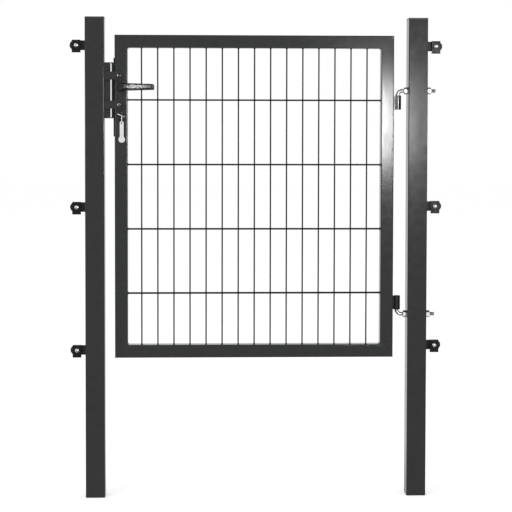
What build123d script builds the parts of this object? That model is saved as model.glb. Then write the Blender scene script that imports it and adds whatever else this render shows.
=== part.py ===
from build123d import *

import os
from math import cos, radians, sin

# A garden gate of welded square tube with a bar mesh, hung between two square posts.
# X runs to the right, Y away from the front and Z up, in millimetres.
# The origin is the middle of the hinge post's foot.

# Posts and their caps
POST_SIZE = 60
POST_WALL = 2
POST_CORNER = 3
POST_HEIGHT = 1490
CAP_THICKNESS = 4
CAP_PLUG_DEPTH = 16
CAP_PLUG_WALL = 3
CAP_EDGE = 1.2

# Leaf
LEAF_WIDTH = 865
LEAF_HEIGHT = 1000
LEAF_DROP = 55
LEAF_TUBE = 40
LEAF_WALL = 2
LEAF_CORNER = 3
HINGE_GAP = 44
LATCH_GAP = 31

# Mesh
VERTICAL_WIRE = 4.5
HORIZONTAL_WIRE = 5
VERTICAL_PITCH = 50
HORIZONTAL_PITCH = 200
WIRE_SINK = 0.6
WIRE_SIDES = 8

# Hook hinges
HOOK_ROD = 12
HOOK_BEND = 14
HOOK_STUD_REACH = 28
HOOK_HOLE_CLEARANCE = 0.5
UPPER_HOOK_DROP = 170
LOWER_HOOK_RISE = 133
PIN_CLEARANCE = 0.05
PIN_SHORT = 1.5
PIN_CHAMFER = 1.5
BARREL_DIAMETER = 22
BARREL_LENGTH = 44
BARREL_GAP = 2.5
BARREL_EDGE = 1
BARREL_REST = 0.3
BARREL_WELD = 14
NUT_ACROSS_FLATS = 19
NUT_THICKNESS = 10.8
NUT_CHAMFER = 1.4
NUT_CLEARANCE = 0.15
WASHER_DIAMETER = 24
WASHER_THICKNESS = 2.5

# Fence clips on the outer faces of the posts
HINGE_SIDE_CLIP_DROPS = (87, 584, 1019)
LATCH_SIDE_CLIP_DROPS = (87, 587, 1032)
TAB_REACH = 48
TAB_HEIGHT = 30
TAB_THICKNESS = 5
CLIP_BOLT_X = 27
CLIP_WIDTH = 27
CLIP_HEIGHT = 39
CLIP_DEPTH = 12
CLIP_WALL = 3
CLIP_SAG = 3
CLIP_ROUND = 2
BOLT_DIAMETER = 8
BOLT_HOLE_CLEARANCE = 0.3
BOLT_HEAD = 14
BOLT_HEAD_HEIGHT = 4.5
BOLT_NUT = 13
BOLT_NUT_THICKNESS = 6.5

# Lock
LOCK_DROP = 160
LATCH_RISE = 34
DEAD_BOLT_DROP = 55
CYLINDER_DROP = 88
FACEPLATE_THICKNESS = 3.5
FACEPLATE_WIDTH = 24
FACEPLATE_HEIGHT = 242
FACEPLATE_DROP = 32
CASE_DEPTH = 33
CASE_THICKNESS = 18
CASE_TOP_RISE = 56
CASE_HEIGHT = 176
CASE_CLEARANCE = 0.5
LATCH_THROW = 14
LATCH_THICKNESS = 12
LATCH_HEIGHT = 20
LATCH_LENGTH = 31
LATCH_NOSE = 3
DEAD_BOLT_HEIGHT = 24
DEAD_BOLT_LENGTH = 26
LOCK_CLEARANCE = 0.3
CYLINDER_DIAMETER = 17
CYLINDER_TAIL_WIDTH = 10
CYLINDER_HEIGHT = 33
CYLINDER_PROUD = 7
KEYWAY_WIDTH = 2.4
KEYWAY_HEIGHT = 9
KEYWAY_DEPTH = 3

# Handles
SPINDLE_SIZE = 8
HUB_CLEARANCE = 0.4
ROSETTE_DIAMETER = 28
ROSETTE_THICKNESS = 8
ROSETTE_ROUND = 1.5
NECK_DIAMETER = 17
NECK_CLEARANCE = 0.08
LEVER_STANDOFF = 31
LEVER_LENGTH = 101
LEVER_ROOT_HEIGHT = 22
LEVER_TIP_HEIGHT = 16
LEVER_ROOT_DEPTH = 13
LEVER_TIP_DEPTH = 11
LEVER_ROUND = 4.5
LEVER_TIP_ROUND = 3

# Key, ring and tag
KEY_TURN = 24
KEY_THICKNESS = 2.2
KEY_SHANK = 8
KEY_SHANK_LENGTH = 7
KEY_BOW = 26
KEY_HOLE = 8
KEY_HOLE_WIDTH = 16
KEY_RIM = 3
RING_WIRE = 1.8
RING_RADIUS = 12
RING_SEAT = 0.25
TAG_THICKNESS = 2
TAG_HOLE = 5
TAG_BAR = 12
TAG_LENGTH = 66
TAG_END = 20
TAG_GROOVE = 3
TAG_GROOVE_DEPTH = 0.5
TAG_GROOVE_MARGIN = 8

# Keeper on the latch post
KEEPER_HEIGHT = 172
KEEPER_DROP = 11
KEEPER_WIDTH = 50
KEEPER_FLANGE = 19
KEEPER_BACK_FLANGE = 9
KEEPER_BEVEL = 5
KEEPER_WALL = 3
STRIKE_OFFSET = 22
STRIKE_THICKNESS = 4
STRIKE_WIDTH = 44
STRIKE_SLOT_CLEARANCE = 3
ARM_HEIGHT = 25
ARM_THICKNESS = 6
ARM_REACH = 56
ARM_BOLT_REACH = 44
BUFFER_DIAMETER = 16
BUFFER_GAP = 0.3
STOP_BOLT = 6
STOP_BOLT_HEAD = 15
STOP_BOLT_HEAD_HEIGHT = 3
STOP_BOLT_ROUND = 2

# Places worked out from the sizes
POST_HALF = POST_SIZE / 2
POST_INNER = POST_SIZE - 2 * POST_WALL
POST_TUBE_LENGTH = POST_HEIGHT - CAP_THICKNESS
HINGE_POST_FACE = -POST_HALF
LATCH_POST_X = -(POST_SIZE + HINGE_GAP + LEAF_WIDTH + LATCH_GAP)
LATCH_POST_FACE = LATCH_POST_X + POST_HALF
LEAF_RIGHT = HINGE_POST_FACE - HINGE_GAP
LEAF_LEFT = LEAF_RIGHT - LEAF_WIDTH
LEAF_TOP = POST_HEIGHT - LEAF_DROP
LEAF_BOTTOM = LEAF_TOP - LEAF_HEIGHT
LEAF_MIDDLE_Z = LEAF_BOTTOM + LEAF_HEIGHT / 2
LEAF_FRONT = -LEAF_TUBE / 2
OPENING_LEFT = LEAF_LEFT + LEAF_TUBE
OPENING_WIDTH = LEAF_WIDTH - 2 * LEAF_TUBE
OPENING_BOTTOM = LEAF_BOTTOM + LEAF_TUBE
OPENING_HEIGHT = LEAF_HEIGHT - 2 * LEAF_TUBE
HOOK_HEIGHTS = {"upper": LEAF_TOP - UPPER_HOOK_DROP, "lower": LEAF_BOTTOM + LOWER_HOOK_RISE}
AXIS_X = LEAF_RIGHT + BARREL_GAP + BARREL_DIAMETER / 2
LOCK_X = LEAF_LEFT + LEAF_TUBE / 2
LOCK_HEIGHT = LEAF_TOP - LOCK_DROP
FACEPLATE_X = LEAF_LEFT - FACEPLATE_THICKNESS
FACEPLATE_Z = LOCK_HEIGHT - FACEPLATE_DROP
LATCH_Z = LOCK_HEIGHT + LATCH_RISE
DEAD_BOLT_Z = LOCK_HEIGHT - DEAD_BOLT_DROP
CYLINDER_Z = LOCK_HEIGHT - CYLINDER_DROP
KEEPER_Z = LOCK_HEIGHT - KEEPER_DROP
KEEPER_FRONT = -KEEPER_WIDTH / 2
STRIKE_X = LATCH_POST_FACE + STRIKE_OFFSET
ARM_HEIGHTS = (LATCH_Z, DEAD_BOLT_Z)
ARM_BOLT_X = LATCH_POST_FACE + ARM_BOLT_REACH


def write(piece, name):
    """Labels a finished piece and writes its file."""
    piece.part.label = name
    export_step(piece.part, f"parts/{name}.step")


def spread(start, length, pitch):
    """Places at a pitch along a length, with equal margins."""
    count = int(length // pitch)
    margin = (length - (count - 1) * pitch) / 2
    return [start + margin + step * pitch for step in range(count)]


def side_plane(y):
    """Upright plane that faces the front, with X to the right and Z up."""
    return Plane(origin=(0, y, 0), x_dir=(1, 0, 0), z_dir=(0, -1, 0))


# Posts

def tube_profile(size, wall, corner):
    """Section of a square tube."""
    inner = size - 2 * wall
    RectangleRounded(size, size, corner)
    RectangleRounded(inner, inner, corner - wall, mode=Mode.SUBTRACT)


def build_post(x, hook_heights):
    """Square tube, open at the foot, drilled through for the hinge hooks."""
    with BuildPart() as post:
        with BuildSketch(Plane(origin=(x, 0, 0))):
            tube_profile(POST_SIZE, POST_WALL, POST_CORNER)
        extrude(amount=POST_TUBE_LENGTH)
        for height in hook_heights:
            with BuildSketch(Plane.YZ.offset(x)):
                with Locations((0, height)):
                    Circle(HOOK_ROD / 2 + HOOK_HOLE_CLEARANCE)
            extrude(amount=POST_SIZE, both=True, mode=Mode.SUBTRACT)
    return post


def build_cap(x):
    """Flat plastic cap with a hollow plug inside the tube."""
    plug = POST_INNER - 2 * LOCK_CLEARANCE
    with BuildPart() as cap:
        with BuildSketch(Plane(origin=(x, 0, POST_TUBE_LENGTH))):
            RectangleRounded(POST_SIZE, POST_SIZE, POST_CORNER)
        extrude(amount=CAP_THICKNESS)
        chamfer(cap.faces().sort_by(Axis.Z)[-1].edges(), CAP_EDGE)
        with BuildSketch(Plane(origin=(x, 0, POST_TUBE_LENGTH))):
            Rectangle(plug, plug)
            Rectangle(plug - 2 * CAP_PLUG_WALL, plug - 2 * CAP_PLUG_WALL, mode=Mode.SUBTRACT)
        extrude(amount=-CAP_PLUG_DEPTH)
    return cap


# Fence clips

def clip_places(post_x, heights, side):
    """Bolt centres on the outer face of a post, as points in X and Z."""
    bolt_x = post_x + side * (POST_HALF + CLIP_BOLT_X)
    return [(bolt_x, height) for height in heights]


def build_tabs(post_x, heights, side):
    """Flat tabs with a round end, welded to the post's outer face."""
    straight = TAB_REACH - TAB_HEIGHT / 2
    middle_x = post_x + side * (POST_HALF + straight / 2)
    end_x = post_x + side * (POST_HALF + straight)
    with BuildPart() as tabs:
        with BuildSketch(side_plane(-TAB_THICKNESS / 2)):
            for height in heights:
                with Locations((middle_x, height)):
                    Rectangle(straight, TAB_HEIGHT)
                with Locations((end_x, height)):
                    Circle(TAB_HEIGHT / 2)
            with Locations(*clip_places(post_x, heights, side)):
                Circle(BOLT_DIAMETER / 2 + BOLT_HOLE_CLEARANCE, mode=Mode.SUBTRACT)
        extrude(amount=-TAB_THICKNESS)
    return tabs


def build_clips(post_x, heights, side):
    """Pressed channels that clamp a fence panel's wires against the tabs."""
    front = -TAB_THICKNESS / 2 - CLIP_DEPTH
    sagged = [height - CLIP_SAG for height in heights]
    with BuildPart() as clips:
        with BuildSketch(side_plane(front)):
            with Locations(*clip_places(post_x, sagged, side)):
                Rectangle(CLIP_WIDTH, CLIP_HEIGHT)
        extrude(amount=-CLIP_DEPTH)
        bends = clips.faces().filter_by(Axis.Y).group_by(Axis.Y)[0].edges().filter_by(Axis.X)
        fillet(bends, CLIP_ROUND)
        with BuildSketch(side_plane(front + CLIP_WALL)):
            with Locations(*clip_places(post_x, sagged, side)):
                Rectangle(CLIP_WIDTH, CLIP_HEIGHT - 2 * CLIP_WALL)
        extrude(amount=-CLIP_DEPTH, mode=Mode.SUBTRACT)
        with BuildSketch(side_plane(front)):
            with Locations(*clip_places(post_x, heights, side)):
                Circle(BOLT_DIAMETER / 2 + BOLT_HOLE_CLEARANCE)
        extrude(amount=-CLIP_DEPTH, mode=Mode.SUBTRACT)
    return clips


def build_clip_bolts(post_x, heights, side):
    """Round headed bolts through clip and tab, with a nut behind."""
    front = -TAB_THICKNESS / 2 - CLIP_DEPTH
    shank = CLIP_DEPTH + TAB_THICKNESS + BOLT_NUT_THICKNESS
    places = clip_places(post_x, heights, side)
    with BuildPart() as bolts:
        with BuildSketch(side_plane(front)):
            with Locations(*places):
                Circle(BOLT_DIAMETER / 2)
        extrude(amount=-shank)
        with BuildSketch(side_plane(front)):
            with Locations(*places):
                Circle(BOLT_HEAD / 2)
        extrude(amount=BOLT_HEAD_HEIGHT)
        heads = bolts.faces().sort_by(Axis.Y)[: len(places)]
        fillet(heads.edges(), BOLT_HEAD_HEIGHT - 1)
        with BuildSketch(side_plane(TAB_THICKNESS / 2)):
            with Locations(*places):
                RegularPolygon(BOLT_NUT / 2, 6, major_radius=False, rotation=30)
        extrude(amount=-BOLT_NUT_THICKNESS)
    return bolts


# Leaf frame

def mitre(x, z, lean, keep):
    """Cuts the part in hand along the diagonal of one corner of the leaf."""
    split(bisect_by=Plane(origin=(x, 0, z), z_dir=(lean, 0, 1)), keep=keep)


def build_stile(x):
    """Upright of the leaf, mitred at both ends."""
    lean = 1 if x < (LEAF_LEFT + LEAF_RIGHT) / 2 else -1
    edge_x = x - lean * LEAF_TUBE / 2
    with BuildPart() as stile:
        with BuildSketch(Plane(origin=(x, 0, LEAF_BOTTOM))):
            tube_profile(LEAF_TUBE, LEAF_WALL, LEAF_CORNER)
        extrude(amount=LEAF_HEIGHT)
        mitre(edge_x, LEAF_TOP, lean, Keep.BOTTOM)
        mitre(edge_x, LEAF_BOTTOM, -lean, Keep.TOP)
    return stile


def build_rail(z):
    """Cross piece of the leaf, mitred at both ends."""
    upper = z > LEAF_MIDDLE_Z
    lean = 1 if upper else -1
    edge_z = z + lean * LEAF_TUBE / 2
    keep = Keep.TOP if upper else Keep.BOTTOM
    with BuildPart() as rail:
        with BuildSketch(Plane(origin=(LEAF_LEFT, 0, z), z_dir=(1, 0, 0))):
            tube_profile(LEAF_TUBE, LEAF_WALL, LEAF_CORNER)
        extrude(amount=LEAF_WIDTH)
        mitre(LEAF_LEFT, edge_z, lean, keep)
        mitre(LEAF_RIGHT, edge_z, -lean, keep)
    return rail


def cylinder_profile(clearance):
    """Round barrel over a narrow tail, at the lock cylinder's place."""
    tail = CYLINDER_HEIGHT - CYLINDER_DIAMETER / 2
    with Locations((LOCK_X, CYLINDER_Z)):
        Circle(CYLINDER_DIAMETER / 2 + clearance)
    with Locations((LOCK_X, CYLINDER_Z - tail / 2)):
        Rectangle(CYLINDER_TAIL_WIDTH + 2 * clearance, tail + 2 * clearance)


def build_latch_stile():
    """Upright with the cut-outs of the lock case, spindle and cylinder."""
    case_middle = LOCK_HEIGHT + CASE_TOP_RISE - CASE_HEIGHT / 2
    with BuildPart() as stile:
        add(build_stile(LOCK_X).part)
        with BuildSketch(Plane.YZ.offset(LEAF_LEFT)):
            with Locations((0, case_middle)):
                Rectangle(CASE_THICKNESS + 2 * CASE_CLEARANCE, CASE_HEIGHT + 2 * CASE_CLEARANCE)
        extrude(amount=LEAF_WALL + CASE_CLEARANCE, mode=Mode.SUBTRACT)
        with BuildSketch(side_plane(LEAF_FRONT)):
            with Locations((LOCK_X, LOCK_HEIGHT)):
                Circle(NECK_DIAMETER / 2)
            cylinder_profile(CASE_CLEARANCE)
        extrude(amount=-LEAF_TUBE, mode=Mode.SUBTRACT)
    return stile


def build_mesh():
    """Upright wires welded between pairs of level wires."""
    upright_x = spread(OPENING_LEFT, OPENING_WIDTH, VERTICAL_PITCH)
    level_z = spread(OPENING_BOTTOM, OPENING_HEIGHT, HORIZONTAL_PITCH)
    level_y = (VERTICAL_WIRE + HORIZONTAL_WIRE) / 2 - WIRE_SINK
    with BuildPart() as mesh:
        with BuildSketch(Plane.XY.offset(OPENING_BOTTOM)):
            with Locations(*[(x, 0) for x in upright_x]):
                RegularPolygon(VERTICAL_WIRE / 2, WIRE_SIDES)
        extrude(amount=OPENING_HEIGHT)
        with BuildSketch(Plane.YZ.offset(OPENING_LEFT)):
            with Locations(*[(y, z) for z in level_z for y in (-level_y, level_y)]):
                RegularPolygon(HORIZONTAL_WIRE / 2, WIRE_SIDES)
        extrude(amount=OPENING_WIDTH)
    return mesh


# Hook hinges

def barrel_base(side):
    """Lower end of a hinge barrel, above the lower hook or under the upper one."""
    height = HOOK_HEIGHTS[side]
    if side == "lower":
        return height + HOOK_BEND + BARREL_REST
    return height - HOOK_BEND - BARREL_REST - BARREL_LENGTH


def build_barrel(side):
    """Bored barrel with a weld root that seats on the stile."""
    root = AXIS_X - LEAF_RIGHT
    with BuildPart() as barrel:
        with BuildSketch(Plane(origin=(AXIS_X, 0, barrel_base(side)))):
            Circle(BARREL_DIAMETER / 2)
        extrude(amount=BARREL_LENGTH)
        chamfer(barrel.edges(), BARREL_EDGE)
        with BuildSketch(Plane(origin=(AXIS_X, 0, barrel_base(side) + BARREL_EDGE))):
            with Locations((-root / 2, 0)):
                Rectangle(root, BARREL_WELD)
        extrude(amount=BARREL_LENGTH - 2 * BARREL_EDGE)
        with BuildSketch(Plane(origin=(AXIS_X, 0, barrel_base(side)))):
            Circle(HOOK_ROD / 2 + PIN_CLEARANCE)
        extrude(amount=BARREL_LENGTH, mode=Mode.SUBTRACT)
    return barrel


def build_hook(side):
    """Threaded rod through the post, bent into the hinge pin."""
    height = HOOK_HEIGHTS[side]
    stud_end = POST_HALF + HOOK_STUD_REACH
    base = barrel_base(side)
    pin_end = base + BARREL_LENGTH - PIN_SHORT if side == "lower" else base + PIN_SHORT
    with BuildPart() as hook:
        with BuildLine(Plane.XZ):
            FilletPolyline(
                (stud_end, height), (AXIS_X, height), (AXIS_X, pin_end), radius=HOOK_BEND
            )
        with BuildSketch(Plane(origin=(stud_end, 0, height), z_dir=(-1, 0, 0))):
            Circle(HOOK_ROD / 2)
        sweep()
        ends = hook.faces().filter_by(GeomType.PLANE)
        chamfer(ends.edges(), PIN_CHAMFER)
    return hook


def build_nuts():
    """Hexagon nuts on both sides of the hinge post, their corners turned off."""
    seats = (HINGE_POST_FACE - NUT_THICKNESS, POST_HALF + WASHER_THICKNESS)
    places = [(0, height) for height in HOOK_HEIGHTS.values()]
    corner = NUT_ACROSS_FLATS / 3**0.5
    with BuildPart() as nuts:
        for seat in seats:
            with BuildSketch(Plane.YZ.offset(seat)):
                with Locations(*places):
                    Circle(corner)
            extrude(amount=NUT_THICKNESS)
        chamfer(nuts.edges(), NUT_CHAMFER)
        for seat in seats:
            with BuildSketch(Plane.YZ.offset(seat)):
                with Locations(*places):
                    Circle(corner + NUT_CHAMFER)
                    RegularPolygon(
                        NUT_ACROSS_FLATS / 2,
                        6,
                        major_radius=False,
                        rotation=30,
                        mode=Mode.SUBTRACT,
                    )
                    Circle(HOOK_ROD / 2 + NUT_CLEARANCE)
            extrude(amount=NUT_THICKNESS, mode=Mode.SUBTRACT)
    return nuts


def build_washers():
    """Plain washers under the outer nuts."""
    with BuildPart() as washers:
        with BuildSketch(Plane.YZ.offset(POST_HALF)):
            with Locations(*[(0, height) for height in HOOK_HEIGHTS.values()]):
                Circle(WASHER_DIAMETER / 2)
                Circle(HOOK_ROD / 2 + HOOK_HOLE_CLEARANCE, mode=Mode.SUBTRACT)
        extrude(amount=WASHER_THICKNESS)
    return washers


# Lock

def latch_mouth(clearance):
    """Mouth of the latch, in Y and Z."""
    with Locations((0, LATCH_Z)):
        Rectangle(LATCH_THICKNESS + 2 * clearance, LATCH_HEIGHT + 2 * clearance)


def dead_bolt_mouth(clearance):
    """Mouth of the dead bolt, in Y and Z."""
    with Locations((0, DEAD_BOLT_Z)):
        Rectangle(LATCH_THICKNESS + 2 * clearance, DEAD_BOLT_HEIGHT + 2 * clearance)


def build_faceplate():
    """Long plate on the edge of the stile, cut for the latch and the dead bolt."""
    with BuildPart() as faceplate:
        with BuildSketch(Plane.YZ.offset(FACEPLATE_X)):
            with Locations((0, FACEPLATE_Z)):
                RectangleRounded(FACEPLATE_WIDTH, FACEPLATE_HEIGHT, LEAF_CORNER)
        extrude(amount=FACEPLATE_THICKNESS)
        with BuildSketch(Plane.YZ.offset(FACEPLATE_X)):
            latch_mouth(LOCK_CLEARANCE)
            dead_bolt_mouth(LOCK_CLEARANCE)
        extrude(amount=FACEPLATE_THICKNESS, mode=Mode.SUBTRACT)
    return faceplate


def build_case():
    """Lock case behind the faceplate, with pockets for what slides and turns."""
    case_middle = LOCK_HEIGHT + CASE_TOP_RISE - CASE_HEIGHT / 2
    with BuildPart() as case:
        with BuildSketch(Plane.YZ.offset(LEAF_LEFT)):
            with Locations((0, case_middle)):
                Rectangle(CASE_THICKNESS, CASE_HEIGHT)
        extrude(amount=CASE_DEPTH)
        with BuildSketch(Plane.YZ.offset(LEAF_LEFT)):
            latch_mouth(LOCK_CLEARANCE)
        extrude(amount=LATCH_LENGTH - FACEPLATE_THICKNESS + LOCK_CLEARANCE, mode=Mode.SUBTRACT)
        with BuildSketch(Plane.YZ.offset(LEAF_LEFT)):
            dead_bolt_mouth(LOCK_CLEARANCE)
        extrude(amount=DEAD_BOLT_LENGTH - FACEPLATE_THICKNESS, mode=Mode.SUBTRACT)
        with BuildSketch(side_plane(-CASE_THICKNESS / 2)):
            with Locations((LOCK_X, LOCK_HEIGHT)):
                Circle(SPINDLE_SIZE * 2**0.5 / 2 + HUB_CLEARANCE)
            cylinder_profile(CASE_CLEARANCE)
        extrude(amount=-CASE_THICKNESS, mode=Mode.SUBTRACT)
    return case


def build_latch():
    """Sprung latch, bevelled on the side that meets the keeper when the gate closes."""
    tip = FACEPLATE_X - LATCH_THROW
    half = LATCH_THICKNESS / 2
    with BuildPart() as latch:
        with BuildSketch(Plane.XY.offset(LATCH_Z - LATCH_HEIGHT / 2)):
            with BuildLine():
                Polyline(
                    (tip + LATCH_THROW, -half),
                    (tip + LATCH_LENGTH, -half),
                    (tip + LATCH_LENGTH, half),
                    (tip, half),
                    (tip, half - LATCH_NOSE),
                    close=True,
                )
            make_face()
        extrude(amount=LATCH_HEIGHT)
    return latch


def build_dead_bolt():
    """Dead bolt, drawn back flush with the faceplate."""
    with BuildPart() as bolt:
        with BuildSketch(Plane.YZ.offset(FACEPLATE_X)):
            dead_bolt_mouth(0)
        extrude(amount=DEAD_BOLT_LENGTH)
    return bolt


def build_cylinder():
    """Lock cylinder through the case and both walls of the stile, with a keyway behind."""
    reach = LEAF_TUBE / 2 + CYLINDER_PROUD
    with BuildPart() as cylinder:
        with BuildSketch(side_plane(-reach)):
            cylinder_profile(0)
        extrude(amount=-2 * reach)
        with BuildSketch(side_plane(reach)):
            with Locations((LOCK_X, CYLINDER_Z)):
                Rectangle(KEYWAY_WIDTH, KEYWAY_HEIGHT)
        extrude(amount=KEYWAY_DEPTH, mode=Mode.SUBTRACT)
    return cylinder


# Handles

def build_rosette(side):
    """Round collar on the stile that carries the neck of a lever."""
    seat_y = side * LEAF_TUBE / 2
    with BuildPart() as rosette:
        with BuildSketch(side_plane(seat_y)):
            with Locations((LOCK_X, LOCK_HEIGHT)):
                Circle(ROSETTE_DIAMETER / 2)
        extrude(amount=-side * ROSETTE_THICKNESS)
        outer = rosette.faces().sort_by(Axis.Y)[-1 if side > 0 else 0]
        fillet(outer.edges(), ROSETTE_ROUND)
        with BuildSketch(side_plane(seat_y)):
            with Locations((LOCK_X, LOCK_HEIGHT)):
                Circle(NECK_DIAMETER / 2 + NECK_CLEARANCE)
        extrude(amount=-side * ROSETTE_THICKNESS, mode=Mode.SUBTRACT)
    return rosette


def build_lever(side):
    """Tapered lever on a round neck, with a square socket for the spindle."""
    seat_y = side * LEAF_TUBE / 2
    arm_y = seat_y + side * LEVER_STANDOFF
    with BuildPart() as lever:
        with BuildSketch(side_plane(seat_y)):
            with Locations((LOCK_X, LOCK_HEIGHT)):
                Circle(NECK_DIAMETER / 2)
        extrude(amount=-side * LEVER_STANDOFF)
        with BuildSketch(side_plane(arm_y - LEVER_ROOT_DEPTH / 2)):
            with Locations((LOCK_X, LOCK_HEIGHT)):
                Circle(LEVER_ROOT_HEIGHT / 2)
        extrude(amount=-LEVER_ROOT_DEPTH)
        with BuildSketch(Plane.YZ.offset(LOCK_X)):
            with Locations((arm_y, LOCK_HEIGHT)):
                RectangleRounded(LEVER_ROOT_DEPTH, LEVER_ROOT_HEIGHT, LEVER_ROUND)
        with BuildSketch(Plane.YZ.offset(LOCK_X + LEVER_LENGTH)):
            with Locations((arm_y, LOCK_HEIGHT)):
                RectangleRounded(LEVER_TIP_DEPTH, LEVER_TIP_HEIGHT, LEVER_ROUND)
        loft()
        tip = lever.faces().sort_by(Axis.X)[-1]
        fillet(tip.edges(), LEVER_TIP_ROUND)
        with BuildSketch(side_plane(seat_y)):
            with Locations((LOCK_X, LOCK_HEIGHT)):
                Rectangle(SPINDLE_SIZE, SPINDLE_SIZE)
        extrude(amount=-side * ROSETTE_THICKNESS, mode=Mode.SUBTRACT)
    return lever


def build_spindle():
    """Square spindle that turns with both levers."""
    reach = LEAF_TUBE / 2 + ROSETTE_THICKNESS
    with BuildPart() as spindle:
        with BuildSketch(side_plane(-reach)):
            with Locations((LOCK_X, LOCK_HEIGHT)):
                Rectangle(SPINDLE_SIZE, SPINDLE_SIZE)
        extrude(amount=-2 * reach)
    return spindle


# Key, ring and tag

def build_key():
    """Flat key in the cylinder, turned part of the way round."""
    turn = radians(KEY_TURN)
    mouth = Plane(
        origin=(LOCK_X, -LEAF_TUBE / 2 - CYLINDER_PROUD, CYLINDER_Z),
        x_dir=(cos(turn), 0, -sin(turn)),
        z_dir=(-sin(turn), 0, -cos(turn)),
    )
    with BuildPart() as key:
        with BuildSketch(mouth):
            with Locations((0, KEY_SHANK_LENGTH / 2 + 1)):
                Rectangle(KEY_SHANK, KEY_SHANK_LENGTH + 2)
            with Locations((0, KEY_SHANK_LENGTH + KEY_BOW / 2)):
                Circle(KEY_BOW / 2)
            with Locations((0, KEY_SHANK_LENGTH + KEY_BOW - KEY_RIM - KEY_HOLE / 2)):
                SlotOverall(KEY_HOLE_WIDTH, KEY_HOLE, mode=Mode.SUBTRACT)
        extrude(amount=KEY_THICKNESS / 2, both=True)
    return key


def ring_centre():
    """Middle of the ring, which has slid to the lower end of the key's hole."""
    turn = radians(KEY_TURN)
    slide = (KEY_HOLE_WIDTH - KEY_HOLE) / 2
    rim_top = KEY_THICKNESS / 2 / cos(turn) + RING_WIRE / 2 * sin(turn) / cos(turn)
    rim_top -= slide * sin(turn)
    reach = RING_RADIUS - RING_WIRE / 2 - RING_SEAT
    y = -LEAF_TUBE / 2 - CYLINDER_PROUD - KEY_SHANK_LENGTH - KEY_BOW
    x = LOCK_X + slide * cos(turn)
    return (x, y, CYLINDER_Z + rim_top - (reach**2 - KEY_RIM**2) ** 0.5)


def build_ring():
    """Wire ring through the hole of the key."""
    centre = ring_centre()
    with BuildPart() as ring:
        with BuildSketch(Plane(origin=centre, x_dir=(0, 1, 0), z_dir=(0, 0, 1))):
            with Locations((RING_RADIUS, 0)):
                Circle(RING_WIRE / 2)
        revolve(axis=Axis(centre, (1, 0, 0)))
    return ring


def build_tag():
    """Flat tag with a round lower end, hung on the ring."""
    centre = ring_centre()
    hole_z = centre[2] - RING_RADIUS + RING_WIRE / 2 + RING_SEAT - TAG_HOLE / 2
    top = hole_z + TAG_BAR / 2
    bar = TAG_LENGTH - TAG_END / 2
    with BuildPart() as tag:
        with BuildSketch(side_plane(centre[1] - TAG_THICKNESS / 2)):
            with Locations((centre[0], hole_z)):
                Circle(TAG_BAR / 2)
            with Locations((centre[0], (hole_z + top - bar) / 2)):
                Rectangle(TAG_BAR, hole_z - top + bar)
            with Locations((centre[0], top - bar)):
                Circle(TAG_END / 2)
            with Locations((centre[0], hole_z)):
                Circle(TAG_HOLE / 2, mode=Mode.SUBTRACT)
        extrude(amount=-TAG_THICKNESS)
        with BuildSketch(side_plane(centre[1] - TAG_THICKNESS / 2)):
            with Locations((centre[0], (hole_z + top - bar) / 2)):
                SlotOverall(hole_z - top + bar - TAG_GROOVE_MARGIN, TAG_GROOVE, rotation=90)
        extrude(amount=-TAG_GROOVE_DEPTH, mode=Mode.SUBTRACT)
    return tag


# Keeper

def build_keeper():
    """Channel on the latch post, with end plates that hold the strike plate out."""
    bottom = KEEPER_Z - KEEPER_HEIGHT / 2
    middle_x = LATCH_POST_FACE + KEEPER_FLANGE / 2
    cavity_x = middle_x + KEEPER_WALL / 2
    end_x = LATCH_POST_FACE + STRIKE_OFFSET / 2
    inner_width = KEEPER_WIDTH - 2 * KEEPER_WALL
    trim = KEEPER_FLANGE - KEEPER_BACK_FLANGE
    with BuildPart() as keeper:
        with BuildSketch(Plane.XY.offset(bottom)):
            with Locations((middle_x, 0)):
                Rectangle(KEEPER_FLANGE, KEEPER_WIDTH)
            with Locations((cavity_x, 0)):
                Rectangle(KEEPER_FLANGE - KEEPER_WALL, inner_width, mode=Mode.SUBTRACT)
            with Locations((LATCH_POST_FACE + KEEPER_BACK_FLANGE + trim / 2, -KEEPER_FRONT)):
                Rectangle(trim, 2 * KEEPER_WALL, mode=Mode.SUBTRACT)
        extrude(amount=KEEPER_HEIGHT)
        lip = keeper.faces().filter_by(Axis.X).sort_by(Axis.X)[-1]
        chamfer(lip.edges().filter_by(Axis.Y), KEEPER_BEVEL)
        for level in (bottom, bottom + KEEPER_HEIGHT - KEEPER_WALL):
            with BuildSketch(Plane.XY.offset(level)):
                with Locations((end_x, 0)):
                    Rectangle(STRIKE_OFFSET, inner_width)
            extrude(amount=KEEPER_WALL)
    return keeper


def build_strike():
    """Strike plate with slots for the latch and the dead bolt."""
    with BuildPart() as strike:
        with BuildSketch(Plane.YZ.offset(STRIKE_X)):
            with Locations((0, KEEPER_Z)):
                Rectangle(STRIKE_WIDTH, KEEPER_HEIGHT)
        extrude(amount=STRIKE_THICKNESS)
        with BuildSketch(Plane.YZ.offset(STRIKE_X)):
            latch_mouth(STRIKE_SLOT_CLEARANCE)
            dead_bolt_mouth(STRIKE_SLOT_CLEARANCE)
        extrude(amount=STRIKE_THICKNESS, mode=Mode.SUBTRACT)
    return strike


def build_arms():
    """Round ended arms that reach over the front of the leaf."""
    straight = ARM_REACH - ARM_HEIGHT / 2
    with BuildPart() as arms:
        with BuildSketch(side_plane(KEEPER_FRONT)):
            for height in ARM_HEIGHTS:
                with Locations((LATCH_POST_FACE + straight / 2, height)):
                    Rectangle(straight, ARM_HEIGHT)
                with Locations((LATCH_POST_FACE + straight, height)):
                    Circle(ARM_HEIGHT / 2)
                with Locations((ARM_BOLT_X, height)):
                    Circle(STOP_BOLT / 2 + BOLT_HOLE_CLEARANCE, mode=Mode.SUBTRACT)
        extrude(amount=ARM_THICKNESS)
    return arms


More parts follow.
